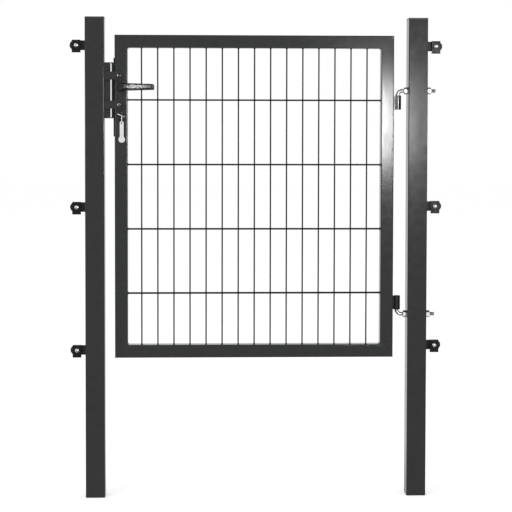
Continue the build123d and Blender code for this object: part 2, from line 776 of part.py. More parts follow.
def stop_bolt_places():
    """Centres of the stop bolts in X and Z."""
    return [(ARM_BOLT_X, height) for height in ARM_HEIGHTS]


def build_stop_bolts():
    """Bolts that hold the rubber buffers in the arms."""
    with BuildPart() as bolts:
        with BuildSketch(side_plane(KEEPER_FRONT)):
            with Locations(*stop_bolt_places()):
                Circle(STOP_BOLT / 2)
        extrude(amount=ARM_THICKNESS)
        with BuildSketch(side_plane(KEEPER_FRONT - ARM_THICKNESS)):
            with Locations(*stop_bolt_places()):
                Circle(STOP_BOLT_HEAD / 2)
        extrude(amount=STOP_BOLT_HEAD_HEIGHT)
        heads = bolts.faces().sort_by(Axis.Y)[: len(stop_bolt_places())]
        fillet(heads.edges(), STOP_BOLT_ROUND)
    return bolts


def build_buffers():
    """Rubber buffers behind the arms, against the front of the leaf."""
    thickness = LEAF_FRONT - BUFFER_GAP - KEEPER_FRONT
    with BuildPart() as buffers:
        with BuildSketch(side_plane(KEEPER_FRONT)):
            with Locations(*stop_bolt_places()):
                Circle(BUFFER_DIAMETER / 2)
        extrude(amount=-thickness)
    return buffers


# Writing the pieces

os.makedirs("parts", exist_ok=True)

write(build_post(0, HOOK_HEIGHTS.values()), "hinge_post")
write(build_post(LATCH_POST_X, ()), "latch_post")
write(build_cap(0), "hinge_post_cap")
write(build_cap(LATCH_POST_X), "latch_post_cap")

for name, post_x, drops, side in (
    ("hinge_post", 0, HINGE_SIDE_CLIP_DROPS, 1),
    ("latch_post", LATCH_POST_X, LATCH_SIDE_CLIP_DROPS, -1),
):
    heights = [POST_HEIGHT - drop for drop in drops]
    write(build_tabs(post_x, heights, side), name + "_tabs")
    write(build_clips(post_x, heights, side), name + "_clips")
    write(build_clip_bolts(post_x, heights, side), name + "_clip_bolts")

write(build_latch_stile(), "latch_stile")
write(build_stile(LEAF_RIGHT - LEAF_TUBE / 2), "hinge_stile")
write(build_rail(LEAF_TOP - LEAF_TUBE / 2), "top_rail")
write(build_rail(LEAF_BOTTOM + LEAF_TUBE / 2), "bottom_rail")
write(build_mesh(), "mesh_panel")

for side in HOOK_HEIGHTS:
    write(build_barrel(side), "hinge_barrel_" + side)
    write(build_hook(side), "hinge_hook_" + side)
write(build_nuts(), "hook_nuts")
write(build_washers(), "hook_washers")

write(build_faceplate(), "lock_faceplate")
write(build_case(), "lock_case")
write(build_latch(), "latch_bolt")
write(build_dead_bolt(), "dead_bolt")
write(build_cylinder(), "lock_cylinder")
for name, side in (("front", -1), ("back", 1)):
    write(build_rosette(side), "rosette_" + name)
    write(build_lever(side), "lever_" + name)
write(build_spindle(), "spindle")

write(build_key(), "key")
write(build_ring(), "key_ring")
write(build_tag(), "key_tag")

write(build_keeper(), "keeper")
write(build_strike(), "strike_plate")
write(build_arms(), "stop_arms")
write(build_stop_bolts(), "stop_bolts")
write(build_buffers(), "stop_buffers")
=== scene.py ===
from math import cos, pi, radians, sin

import bmesh
import bpy
from mathutils import Matrix, Vector


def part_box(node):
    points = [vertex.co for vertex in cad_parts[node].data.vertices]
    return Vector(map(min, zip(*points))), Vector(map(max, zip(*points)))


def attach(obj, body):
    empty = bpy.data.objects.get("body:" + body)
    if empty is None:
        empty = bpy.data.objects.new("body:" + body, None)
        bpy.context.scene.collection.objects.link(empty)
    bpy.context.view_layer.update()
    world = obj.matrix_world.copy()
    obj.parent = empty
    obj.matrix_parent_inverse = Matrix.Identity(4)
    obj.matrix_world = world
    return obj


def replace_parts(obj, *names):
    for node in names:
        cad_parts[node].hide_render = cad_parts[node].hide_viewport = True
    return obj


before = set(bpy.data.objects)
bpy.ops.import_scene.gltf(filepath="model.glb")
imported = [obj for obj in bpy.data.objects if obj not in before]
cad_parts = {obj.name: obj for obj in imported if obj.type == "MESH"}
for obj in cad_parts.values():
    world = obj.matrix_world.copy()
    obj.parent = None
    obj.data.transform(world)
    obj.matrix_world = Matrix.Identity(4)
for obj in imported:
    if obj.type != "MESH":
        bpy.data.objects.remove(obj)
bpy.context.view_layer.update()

# Looks of the garden gate: finishes on the CAD nodes, and the small pieces that the CAD leaves out.
# Metres, in the frame's axes: X to the right, Y away from the front, Z up.

# Camera, fitted to the posts' and the leaf's edges in the photograph; the sensor in millimetres
CAMERA_PLACE = (-0.7, -5.0, 1.15)
CAMERA_TURN = -0.04
CAMERA_PITCH = -0.0436
CAMERA_ROLL = -0.0018
FOCAL_PIXELS = 1609.0
CENTRE_SIDE_PIXELS = 0.6
CENTRE_DROP_PIXELS = 58.2
PHOTO_PIXELS = 512
SENSOR = 36.0

# Light: the world's level on the object, and in reflections what stands in front and above
WORLD_LEVEL = 0.62
FRONT_LEVEL = 0.5
OVERHEAD_LEVEL = 0.12
FLOOR_COLOUR = 0.8
FLOOR_LIFT = 0.5
FLOOR_SIZE = 60.0
FLOOR_DROP = 0.0005

# Where lamps aim
GATE_MIDDLE = (-0.5, 0, 0.75)
HINGE_SIDE = (-0.1, 0, 1.2)

# Colours
COAT_COLOUR = (0.034, 0.035, 0.036)
# Wires: the coat colour darkened far below the coat they really share, painted shade on the thin
# wires
WIRE_SHADE_COLOUR = (0.009, 0.0095, 0.01)
ZINC_COLOUR = (0.5, 0.5, 0.49)
CAP_COLOUR = (0.022, 0.022, 0.023)
BLACK_COLOUR = (0.006, 0.006, 0.0065)
NICKEL_COLOUR = (0.86, 0.85, 0.83)
RUBBER_COLOUR = (0.012, 0.012, 0.012)

# Most of a noise texture's values lie between these two
NOISE_LOW = 0.3
NOISE_HIGH = 0.7

# Mesh panel, as in the CAD
UPRIGHT_WIRE = 0.0045
LEVEL_WIRE = 0.005
UPRIGHT_PITCH = 0.05
LEVEL_PITCH = 0.2
WIRE_SINK = 0.0006
WIRE_SIDES = 12

# Half sizes of the panel's spot welds, along X, Y and Z
CROSSING_WELD = (0.0034, 0.0016, 0.0034)
UPRIGHT_END_WELD = (0.0042, 0.0042, 0.0024)
LEVEL_END_WELD = (0.0032, 0.0044, 0.0046)

# Weld beads: how they swell and end, their widths, and how far they stop short of a corner
BEAD_STEP = 0.0013
BEAD_SIDES = 8
BEAD_RIPPLE = 0.16
BEAD_BODY = 0.9
BEAD_END_LOSS = 0.6
BEAD_LEAST = 0.35
CORNER_BEAD = 0.005
BARREL_BEAD = 0.005
MITRE_BEAD = 0.003
TAB_BEAD = 0.004
KEEPER_BEAD = 0.0032
ARM_BEAD = 0.0034
LEAF_BEAD_INSET = 0.002
POST_BEAD_INSET = 0.001
MITRE_PROUD = 0.08

# Places of the beads
TUBE = 0.04
BARREL_BEAD_REACH = 0.0085
BARREL_BEAD_OUT = 0.001
TAB_SIDE_REACH = 0.014
TAB_END_REACH = 0.015
KEEPER_SEAM_INSET = 0.0004
KEEPER_FLANGE = 0.019
ARM_HALF = 0.0125
ARM_BEAD_OUT = 0.0002

# Vertices further apart in height than this belong to different tabs, arms or bolts
TAB_GAP = 0.1
ARM_GAP = 0.03

# Hook hinges
HOOK_BEND = 0.014
HOOK_CHAMFER = 0.0015
THREAD_PITCH = 0.00175
THREAD_DEPTH = 0.0009
THREAD_STEPS = 6
THREAD_SIDES = 24
BEND_STEPS = 14

# Edges sharper than this many degrees stay sharp
SHARP_ANGLE = 35

# Turned pieces: sides, steps of a rounding, the share of a radius at which a profile ends, a step
# just below a face, and how far a shank reaches into what holds it
BOLT_SIDES = 48
DOME_STEPS = 6
BUTTON_STEPS = 5
TIP = 0.05
HAIR = 0.0001
SHANK_OVERLAP = 0.001

# Hexagon socket: its rim's radius and its point's depth as shares of its width, and its bevel
SOCKET_RIM = 0.66
SOCKET_POINT = 0.12
SOCKET_BEVEL = 0.0002

# Nut's end: distances back from it, with how far the corners draw in there, and then how far
# the profile stands outside the bore
NUT_ROUNDING = ((0.0022, 0.0), (0.0011, 0.0004), (0.0005, 0.0008), (0.0, 0.0014))
NUT_BORE = ((0.0, 0.0006), (0.0006, 0.0), (0.0006, -0.0002), (HAIR, -0.0007))

# Flat screw head: distances above the face, with the share of the radius there
COUNTERSUNK = ((-0.0015, 0.6), (0.0, 1.0), (0.00012, 1.0), (0.0003, 0.8), (0.0003, TIP))

# Clip bolts and their washers
CLIP_BOLT_HEAD = 0.014
CLIP_BOLT_HEIGHT = 0.0045
CLIP_BOLT_EDGE = 0.0012
CLIP_BOLT_SHANK = 0.0038
CLIP_BOLT_BORE = 0.004
CLIP_BOLT_NUT = 0.013
CLIP_BOLT_NUT_THICKNESS = 0.0065
SLOT_WIDTH = 0.0018
SLOT_DEPTH = 0.0016
WASHER_RADIUS = 0.0102
WASHER_THICKNESS = 0.0011
WASHER_EDGE = 0.0003

# Stop bolts
STOP_BOLT_HEIGHT = 0.003
STOP_BOLT_EDGE = 0.0008
STOP_BOLT_ROUND = 0.0026
STOP_BOLT_SHANK = 0.003
STOP_BOLT_SOCKET = 0.005
STOP_BOLT_SOCKET_DEPTH = 0.0018

# Lock screws, with a cross cut in the head
PLATE_SCREW_INSET = 0.008
PLATE_SCREW_RADIUS = 0.0036
CYLINDER_SCREW_RADIUS = 0.003
CROSS_WIDTH = 0.0008
CROSS_DEPTH = 0.0012
CROSS_SHARE = 1.1

# Keeper screws
KEEPER_SCREW_INSET = 0.02
KEEPER_SCREW_X = 0.013
KEEPER_SCREW_RADIUS = 0.0042
KEEPER_SCREW_HEIGHT = 0.0018
KEEPER_SCREW_EDGE = 0.0004
KEEPER_SCREW_SHANK = 0.002
KEEPER_SCREW_SOCKET = 0.0016
KEEPER_SCREW_SOCKET_DEPTH = 0.0009

# Grub screws in the levers' necks
GRUB_Y = 0.0315
GRUB_DROP = 0.0087
GRUB_RADIUS = 0.0022
GRUB_EDGE = 0.0002
GRUB_SOCKET = 0.002
GRUB_SOCKET_DEPTH = 0.0012


# Materials

def new_material(name):
    """A material with only a Principled shader, and its node tree."""
    material = bpy.data.materials.new(name)
    material.use_nodes = True
    return material, material.node_tree, material.node_tree.nodes["Principled BSDF"]


def add_noise(tree, scale, detail=4.0):
    """Noise over the object's own coordinates."""
    coordinates = tree.nodes.new("ShaderNodeTexCoord")
    noise = tree.nodes.new("ShaderNodeTexNoise")
    noise.inputs["Scale"].default_value = scale
    noise.inputs["Detail"].default_value = detail
    tree.links.new(coordinates.outputs["Object"], noise.inputs["Vector"])
    return noise


def colour_between(tree, noise, socket, colour, spread):
    """Lets a colour wander a little either side of its value."""
    ramp = tree.nodes.new("ShaderNodeValToRGB")
    ramp.color_ramp.elements[0].position = NOISE_LOW
    ramp.color_ramp.elements[1].position = NOISE_HIGH
    ramp.color_ramp.elements[0].color = (*[part * (1 - spread) for part in colour], 1)
    ramp.color_ramp.elements[1].color = (*[part * (1 + spread) for part in colour], 1)
    tree.links.new(noise.outputs["Fac"], ramp.inputs["Fac"])
    tree.links.new(ramp.outputs["Color"], socket)


def roughness_between(tree, noise, socket, low, high):
    """Lets the roughness wander between two values."""
    spread = tree.nodes.new("ShaderNodeMapRange")
    spread.inputs["From Min"].default_value = NOISE_LOW
    spread.inputs["From Max"].default_value = NOISE_HIGH
    spread.inputs["To Min"].default_value = low
    spread.inputs["To Max"].default_value = high
    tree.links.new(noise.outputs["Fac"], spread.inputs["Value"])
    tree.links.new(spread.outputs["Result"], socket)


def add_bump(tree, noise, shader, distance, strength):
    """Fine relief from a noise."""
    bump = tree.nodes.new("ShaderNodeBump")
    bump.inputs["Distance"].default_value = distance
    bump.inputs["Strength"].default_value = strength
    tree.links.new(noise.outputs["Fac"], bump.inputs["Height"])
    tree.links.new(bump.outputs["Normal"], shader.inputs["Normal"])


def powder_coat(name, colour=COAT_COLOUR, low=0.115, high=0.15, shine=0.25):
    """Satin powder coat with a faint orange peel, roughness from low to high."""
    material, tree, shader = new_material(name)
    cloud = add_noise(tree, scale=45, detail=5)
    peel = add_noise(tree, scale=900, detail=2)
    colour_between(tree, cloud, shader.inputs["Base Color"], colour, spread=0.06)
    roughness_between(tree, cloud, shader.inputs["Roughness"], low, high)
    add_bump(tree, peel, shader, distance=0.0002, strength=0.03)
    shader.inputs["Specular IOR Level"].default_value = shine
    return material


def metal_plate(name, colour=ZINC_COLOUR, low=0.3, high=0.42, metallic=1.0):
    """Zinc or nickel plate with cloudy patches."""
    material, tree, shader = new_material(name)
    cloud = add_noise(tree, scale=160)
    grain = add_noise(tree, scale=2400, detail=2)
    colour_between(tree, cloud, shader.inputs["Base Color"], colour, spread=0.1)
    roughness_between(tree, cloud, shader.inputs["Roughness"], low, high)
    add_bump(tree, grain, shader, distance=0.0001, strength=0.08)
    shader.inputs["Metallic"].default_value = metallic
    return material


def smooth_finish(name, colour, low, high, relief, shine=0.5):
    """Plastic, rubber or smooth black paint, slightly uneven."""
    material, tree, shader = new_material(name)
    cloud = add_noise(tree, scale=60)
    grain = add_noise(tree, scale=1600, detail=2)
    colour_between(tree, cloud, shader.inputs["Base Color"], colour, spread=0.12)
    roughness_between(tree, cloud, shader.inputs["Roughness"], low, high)
    add_bump(tree, grain, shader, distance=0.0002, strength=relief)
    shader.inputs["Specular IOR Level"].default_value = shine
    return material


# One finish for each of the record's slots
FINISHES = {
    "anthracite_coat": powder_coat("powder_coat"),
    "zinc": metal_plate("zinc_plate"),
    "cap_plastic": smooth_finish("cap_plastic", CAP_COLOUR, 0.38, 0.48, relief=0.12),
    "black_coat": smooth_finish("black_coat", BLACK_COLOUR, 0.13, 0.18, relief=0.05, shine=0.3),
    "lock_steel": metal_plate("lock_steel", low=0.26, high=0.4),
    "nickel": metal_plate("nickel_plate", NICKEL_COLOUR, 0.12, 0.22, metallic=0.6),
    "buffer_rubber": smooth_finish("buffer_rubber", RUBBER_COLOUR, 0.6, 0.8, relief=0.3),
}

# Finishes of pieces that look duller, darker or shinier than the rest of their slot
# The wires' coat is a darker copy of the powder coat they really share: painted shade
WIRE_SHADED_COAT = powder_coat("wire_coat_painted_shade", WIRE_SHADE_COLOUR, 0.22, 0.3, shine=0.1)
BOLT_COAT = smooth_finish("bolt_black", BLACK_COLOUR, 0.12, 0.2, relief=0.05, shine=1.0)
EDGE_COAT = powder_coat("edge_coat", COAT_COLOUR, 0.5, 0.6, shine=0.03)
# The barrels' coat is black, darker than the anthracite coat they really share: painted shade on
# their sides
BARREL_SHADED_COAT = powder_coat("barrel_coat_painted_shade", BLACK_COLOUR, 0.12, 0.18, shine=0.6)
LEVER_COAT = smooth_finish("lever_coat", BLACK_COLOUR, 0.09, 0.13, relief=0.03, shine=0.4)
NODE_COATS = {
    "lever_front": LEVER_COAT,
    "lever_back": LEVER_COAT,
    "strike_plate": EDGE_COAT,
    "lock_faceplate": EDGE_COAT,
    # Both hinge barrels take the black coat, painted shade
    "hinge_barrel_upper": BARREL_SHADED_COAT,
    "hinge_barrel_lower": BARREL_SHADED_COAT,
}


def dress_nodes():
    """Gives every CAD node the finish of its slot in the record, or its own from NODE_COATS."""
    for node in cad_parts.values():
        for place in node.material_slots:
            place.material = FINISHES[place.material.name.split(".")[0]]
    for name, coat in NODE_COATS.items():
        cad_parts[name].material_slots[0].material = coat


# Building blocks

def new_piece(name, mesh_parts, slot, body, coat=None):
    """Makes a smooth object from a bmesh, with its slot's finish or a coat, riding on a body."""
    mesh = bpy.data.meshes.new(name)
    bmesh.ops.recalc_face_normals(mesh_parts, faces=mesh_parts.faces)
    mesh_parts.to_mesh(mesh)
    mesh_parts.free()
    mesh.materials.append(coat or FINISHES[slot])
    piece = bpy.data.objects.new(name, mesh)
    bpy.context.scene.collection.objects.link(piece)
    mesh.shade_smooth()
    mesh.set_sharp_from_angle(angle=radians(SHARP_ANGLE))
    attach(piece, body)
    return piece


def frame_along(direction):
    """Two unit vectors square to a direction."""
    direction = Vector(direction).normalized()
    helper = Vector((0, 0, 1)) if abs(direction.z) < 0.9 else Vector((0, 1, 0))
    across = direction.cross(helper).normalized()
    return across, direction.cross(across).normalized()


def add_ring(parts, centre, across, up, radii):
    """A ring of vertices, one for each radius."""
    ring = []
    for step, radius in enumerate(radii):
        angle = 2 * pi * step / len(radii)
        place = centre + across * (radius * cos(angle)) + up * (radius * sin(angle))
        ring.append(parts.verts.new(place))
    return ring


def join_rings(parts, rings, capped=True):
    """Skins a row of rings, and closes the two ends."""
    sides = len(rings[0])
    for one, other in zip(rings, rings[1:]):
        for step in range(sides):
            after = (step + 1) % sides
            parts.faces.new((one[step], one[after], other[after], other[step]))
    if capped:
        parts.faces.new(rings[0])
        parts.faces.new(rings[-1])


def add_wire(parts, start, end, radius):
    """Round bar between two points."""
    start, end = Vector(start), Vector(end)
    across, up = frame_along(end - start)
    radii = [radius] * WIRE_SIDES
    join_rings(parts, [add_ring(parts, place, across, up, radii) for place in (start, end)])


def hexagon(radius, flats):
    """Radii round a turned piece whose sides are cut to a hexagon."""
    radii = []
    for step in range(BOLT_SIDES):
        lean = (2 * pi * step / BOLT_SIDES + pi / 6) % (pi / 3) - pi / 6
        radii.append(min(radius, flats / 2 / cos(lean)))
    return radii


def add_turned(parts, centre, axis, profile, closed=False):
    """Turned piece from rows of (distance along the axis, radius[, hexagon across flats]).

    Its ends are capped, or joined into a closed loop, as a washer needs.
    """
    axis = Vector(axis).normalized()
    across, up = frame_along(axis)
    rings = []
    for distance, radius, *flats in profile:
        radii = hexagon(radius, flats[0]) if flats else [radius] * BOLT_SIDES
        rings.append(add_ring(parts, Vector(centre) + axis * distance, across, up, radii))
    join_rings(parts, rings, capped=not closed)
    if closed:
        join_rings(parts, [rings[-1], rings[0]], capped=False)


def add_box(parts, centre, size):
    """Plain block, used to cut slots."""
    scale = Matrix.Diagonal((*size, 1))
    bmesh.ops.create_cube(parts, size=1, matrix=Matrix.Translation(centre) @ scale)


def carve(piece, blocks):
    """Cuts a bmesh of blocks out of a piece."""
    mesh = bpy.data.meshes.new("blocks")
    blocks.to_mesh(mesh)
    blocks.free()
    cutter = bpy.data.objects.new("blocks", mesh)
    bpy.context.scene.collection.objects.link(cutter)
    cut = piece.modifiers.new("cut", "BOOLEAN")
    cut.operation = "DIFFERENCE"
    cut.solver = "EXACT"
    cut.object = cutter
    bpy.context.view_layer.update()
    carved = bpy.data.meshes.new_from_object(
        piece.evaluated_get(bpy.context.evaluated_depsgraph_get())
    )
    piece.modifiers.clear()
    piece.data = carved
    carved.set_sharp_from_angle(angle=radians(SHARP_ANGLE))
    bpy.data.objects.remove(cutter)


def add_bead(parts, start, end, width, out=None, proud=1.0):
    """Weld bead: a thin bar that swells and narrows, flattened to proud along out."""
    start, end = Vector(start), Vector(end)
    across, up = frame_along(end - start)
    if out is not None:
        across = Vector(out) * proud
        up = (end - start).normalized().cross(Vector(out))
    count = max(4, int((end - start).length / BEAD_STEP))
    rings = []
    for step in range(count + 1):
        share = step / count
        ending = max(0.0, abs(share - 0.5) * 2 - BEAD_BODY) / (1 - BEAD_BODY)
        swell = 1 - BEAD_RIPPLE * (step % 2) - BEAD_END_LOSS * ending
        radii = [width / 2 * max(swell, BEAD_LEAST)] * BEAD_SIDES
        rings.append(add_ring(parts, start.lerp(end, share), across, up, radii))
    join_rings(parts, rings)


def add_nugget(parts, centre, radii):
    """Small flattened blob of a spot weld."""
    scale = Matrix.Diagonal((*radii, 1))
    bmesh.ops.create_icosphere(
        parts, subdivisions=1, radius=1, matrix=Matrix.Translation(centre) @ scale
    )


def group_heights(name, gap):
    """Middle heights of a node's groups of vertices, such as the three tabs on a post."""
    heights = sorted({round(vertex.co.z, 4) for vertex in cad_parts[name].data.vertices})
    groups = [[heights[0]]]
    for height in heights[1:]:
        if height - groups[-1][-1] > gap:
            groups.append([])
        groups[-1].append(height)
    return [(group[0] + group[-1]) / 2 for group in groups]


def middle_x(name):
    """Middle of a node's box from side to side."""
    low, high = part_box(name)
    return (low.x + high.x) / 2


def middle_z(name):
    """Middle of a node's box in height."""
    return sum(end.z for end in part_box(name)) / 2


# Mesh panel

def spread(start, length, pitch):
    """Places at a pitch along a length, with equal margins, as in the CAD."""
    count = int(round(length / pitch, 6) // 1)
    margin = (length - (count - 1) * pitch) / 2
    return [start + margin + step * pitch for step in range(count)]


def build_wires():
    """Round bars in place of the panel's, with their spot welds."""
    low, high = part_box("mesh_panel")
    upright_x = spread(low.x, high.x - low.x, UPRIGHT_PITCH)
    level_z = spread(low.z, high.z - low.z, LEVEL_PITCH)
    level_y = (UPRIGHT_WIRE + LEVEL_WIRE) / 2 - WIRE_SINK
    wires = bmesh.new()
    for x in upright_x:
        add_wire(wires, (x, 0, low.z), (x, 0, high.z), UPRIGHT_WIRE / 2)
    for y in (-level_y, level_y):
        for z in level_z:
            add_wire(wires, (low.x, y, z), (high.x, y, z), LEVEL_WIRE / 2)
    # The wires take the darker coat, painted shade
    panel = new_piece("mesh_wires", wires, "anthracite_coat", "leaf", WIRE_SHADED_COAT)
    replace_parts(panel, "mesh_panel")
    build_panel_welds(low, high, upright_x, level_z, level_y)


def build_panel_welds(low, high, upright_x, level_z, level_y):
    """Spot welds at the crossings, and a blob where each wire meets the frame."""
    welds = bmesh.new()
    for x in upright_x:
        for z in level_z:
            for side in (-1, 1):
                add_nugget(welds, (x, side * level_y / 2, z), CROSSING_WELD)
        for z in (low.z, high.z):
            add_nugget(welds, (x, 0, z), UPRIGHT_END_WELD)
    for x in (low.x, high.x):
        for z in level_z:
            for y in (-level_y, level_y):
                add_nugget(welds, (x, y, z), LEVEL_END_WELD)
    new_piece("mesh_welds", welds, "anthracite_coat", "leaf")


# Welds of the frame and the fittings

def build_leaf_welds():
    """Beads in the leaf's inner corners, beside the hinge barrels and along the mitres."""
    beads = bmesh.new()
    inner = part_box("mesh_panel")
    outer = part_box("latch_stile")[0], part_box("hinge_stile")[1]
    add_corner_beads(beads, inner)
    add_barrel_beads(beads, outer[1].x)
    add_mitre_beads(beads, inner, outer)
    new_piece("leaf_welds", beads, "anthracite_coat", "leaf")


def add_corner_beads(beads, inner):
    """Beads from front to back in the frame's four inner corners."""
    reach = TUBE / 2 - LEAF_BEAD_INSET
    for x in (inner[0].x, inner[1].x):
        for z in (inner[0].z, inner[1].z):
            add_bead(beads, (x, -reach, z), (x, reach, z), CORNER_BEAD)


def add_barrel_beads(beads, stile_x):
    """Upright beads on either side of each barrel's root on the stile."""
    x = stile_x + BARREL_BEAD_OUT
    for name in ("hinge_barrel_upper", "hinge_barrel_lower"):
        bottom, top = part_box(name)
        for y in (-BARREL_BEAD_REACH, BARREL_BEAD_REACH):
            start = (x, y, bottom.z + LEAF_BEAD_INSET)
            add_bead(beads, start, (x, y, top.z - LEAF_BEAD_INSET), BARREL_BEAD)


def add_mitre_beads(beads, inner, outer):
    """Flat beads along the mitres, on the front and the back of the four corners."""
    inset = LEAF_BEAD_INSET
    for end, side in ((0, 1), (1, -1)):
        for level, rise in ((0, 1), (1, -1)):
            for face in (-TUBE / 2, TUBE / 2):
                add_bead(
                    beads,
                    (outer[end].x + side * inset, face, outer[level].z + rise * inset),
                    (inner[end].x - side * inset, face, inner[level].z - rise * inset),
                    MITRE_BEAD,
                    out=(0, 1, 0),
                    proud=MITRE_PROUD,
                )


def build_post_welds():
    """Beads round the roots of the tabs, and where the keeper and its arms join."""
    beads = bmesh.new()
    add_tab_beads(beads, "hinge_post_tabs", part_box("hinge_post")[1].x)
    add_tab_beads(beads, "latch_post_tabs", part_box("latch_post")[0].x)
    add_keeper_beads(beads)
    new_piece("post_welds", beads, "anthracite_coat", "posts")


def add_tab_beads(beads, name, face_x):
    """Beads on the four sides of each tab's root on the post's face."""
    low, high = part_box(name)
    for z in group_heights(name, TAB_GAP):
        for y in (low.y, high.y):
            start = (face_x, y, z - TAB_SIDE_REACH)
            add_bead(beads, start, (face_x, y, z + TAB_SIDE_REACH), TAB_BEAD)
        for edge in (-TAB_END_REACH, TAB_END_REACH):
            start = (face_x, low.y, z + edge)
            add_bead(beads, start, (face_x, high.y, z + edge), TAB_BEAD)


def add_keeper_beads(beads):
    """Seams of the keeper along the post, and above and below its arms."""
    low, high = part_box("keeper")
    inset = POST_BEAD_INSET
    seam_x = low.x + KEEPER_SEAM_INSET
    for y in (low.y, high.y):
        add_bead(beads, (seam_x, y, low.z + inset), (seam_x, y, high.z - inset), KEEPER_BEAD)
    arm_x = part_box("stop_arms")[0].x + inset
    flange_x = KEEPER_FLANGE + low.x - inset
    y = low.y - ARM_BEAD_OUT
    for z in group_heights("stop_arms", ARM_GAP):
        for edge in (z - ARM_HALF, z + ARM_HALF):
            add_bead(beads, (arm_x, y, edge), (flange_x, y, edge), ARM_BEAD)


# Hook hinges

def build_hooks():
    """Threaded rods through the hinge post, each bent into a smooth pin."""
    for name, sense in (("hinge_hook_upper", -1), ("hinge_hook_lower", 1)):
        rods = bmesh.new()
        sweep_hook(rods, *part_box(name), sense)
        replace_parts(new_piece(name + "_threaded", rods, "zinc", "posts"), name)


def sweep_hook(parts, low, high, sense):
    """Rings along the rod, the bend and the pin, which points along sense."""
    radius = (high.y - low.y) / 2
    axis_x = low.x + radius
    bend_x = axis_x + HOOK_BEND
    height = high.z - radius if sense < 0 else low.z + radius
    pin_end = low.z if sense < 0 else high.z
    across = Vector((0, 1, 0))
    rings = thread_rings(parts, Vector((high.x, 0, height)), high.x - bend_x, radius, across)
    for step in range(1, BEND_STEPS + 1):
        angle = pi / 2 * step / BEND_STEPS
        lean = Vector((-sin(angle), 0, -sense * cos(angle)))
        centre = Vector((bend_x, 0, height + sense * HOOK_BEND)) + lean * HOOK_BEND
        rings.append(add_ring(parts, centre, across, lean * -sense, [radius] * THREAD_SIDES))
    up = Vector((sense, 0, 0))
    for back, inset in ((HOOK_CHAMFER, 0.0), (0.0, HOOK_CHAMFER)):
        centre = Vector((axis_x, 0, pin_end - sense * back))
        rings.append(add_ring(parts, centre, across, up, [radius - inset] * THREAD_SIDES))
    join_rings(parts, rings)


def thread_rings(parts, end, length, radius, across):
    """Rings of a threaded rod from its chamfered end, whose thread runs out at its length."""
    rings = []
    count = round(length / THREAD_PITCH * THREAD_STEPS)
    for step in range(count + 1):
        run = length * step / count
        fade = min(1.0, (length - run) / (2 * THREAD_PITCH))
        limit = radius - max(0.0, HOOK_CHAMFER - run)
        radii = []
        for place in range(THREAD_SIDES):
            turn = run / THREAD_PITCH - place / THREAD_SIDES
            groove = THREAD_DEPTH * fade * (0.5 + 0.5 * cos(2 * pi * turn))
            radii.append(min(limit, radius - groove))
        centre = Vector((end.x - run, end.y, end.z))
        rings.append(add_ring(parts, centre, across, Vector((0, 0, 1)), radii))
    return rings


# Bolts and screws

def dome(radius, height, edge):
    """Profile rows of a domed head."""
    rows = [(0.0, radius), (edge, radius)]
    for step in range(1, DOME_STEPS):
        angle = pi / 2 * step / DOME_STEPS
        rows.append((edge + (height - edge) * sin(angle), radius * cos(angle)))
    rows.append((height, radius * TIP))
    return rows


def button(radius, height, edge, rounding):
    """Profile rows of a flat head with a rounded rim."""
    rows = [(0.0, radius), (edge, radius)]
    for step in range(1, BUTTON_STEPS):
        angle = pi / 2 * step / BUTTON_STEPS
        rows.append((edge + (height - edge) * sin(angle), radius - rounding * (1 - cos(angle))))
    rows.append((height, radius - rounding))
    return rows


def socket(top, flats, depth):
    """Profile rows of a hexagon socket in a flat top, flats wide."""
    return [
        (top, flats * SOCKET_RIM),
        (top - SOCKET_BEVEL, flats, flats),
        (top - depth, flats, flats),
        (top - depth - flats * SOCKET_POINT, flats * TIP),
    ]


def nut_end(start, end, flats, bore):
    """Profile rows of a hexagon nut with a bolt's end in it."""
    sense = 1 if end > start else -1
    corner = flats / 3 ** 0.5
    rows = [(start, corner, flats)]
    rows += [(end - sense * back, corner - inset, flats) for back, inset in NUT_ROUNDING]
    rows += [(end - sense * back, bore + beyond) for back, beyond in NUT_BORE]
    rows.append((end - sense * HAIR, bore * TIP))
    return rows


def build_clip_bolts():
    """Slotted round heads on black washers, with nuts behind the tabs."""
    inner, outer = CLIP_BOLT_HEAD / 2 - WASHER_EDGE, WASHER_RADIUS
    rim = [
        (0.0, inner),
        (WASHER_THICKNESS, inner),
        (WASHER_THICKNESS, outer - WASHER_EDGE),
        (WASHER_THICKNESS - WASHER_EDGE, outer),
        (0.0, outer),
    ]
    head = dome(CLIP_BOLT_HEAD / 2, CLIP_BOLT_HEIGHT, CLIP_BOLT_EDGE)
    slot = (CLIP_BOLT_HEAD, 2 * SLOT_DEPTH, SLOT_WIDTH)
    washers = bmesh.new()
    for name in ("hinge_post_clip_bolts", "latch_post_clip_bolts"):
        low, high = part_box(name)
        x = middle_x(name)
        face = low.y + CLIP_BOLT_HEIGHT
        nut_start = high.y - CLIP_BOLT_NUT_THICKNESS
        nut = nut_end(nut_start, high.y, CLIP_BOLT_NUT, CLIP_BOLT_BORE)
        shank = [
            (-(nut_start - face) - SHANK_OVERLAP, CLIP_BOLT_SHANK),
            (-HAIR, CLIP_BOLT_SHANK),
        ]
        bolts, slots = bmesh.new(), bmesh.new()
        for z in group_heights(name, TAB_GAP):
            add_turned(bolts, (x, face, z), (0, -1, 0), shank + head)
            add_turned(bolts, (x, 0, z), (0, 1, 0), nut)
            add_box(slots, (x, low.y, z), slot)
            add_turned(washers, (x, face, z), (0, -1, 0), rim, closed=True)
        bolts = new_piece(name + "_turned", bolts, "zinc", "posts")
        carve(bolts, slots)
        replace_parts(bolts, name)
    new_piece("clip_washers", washers, "black_coat", "posts")


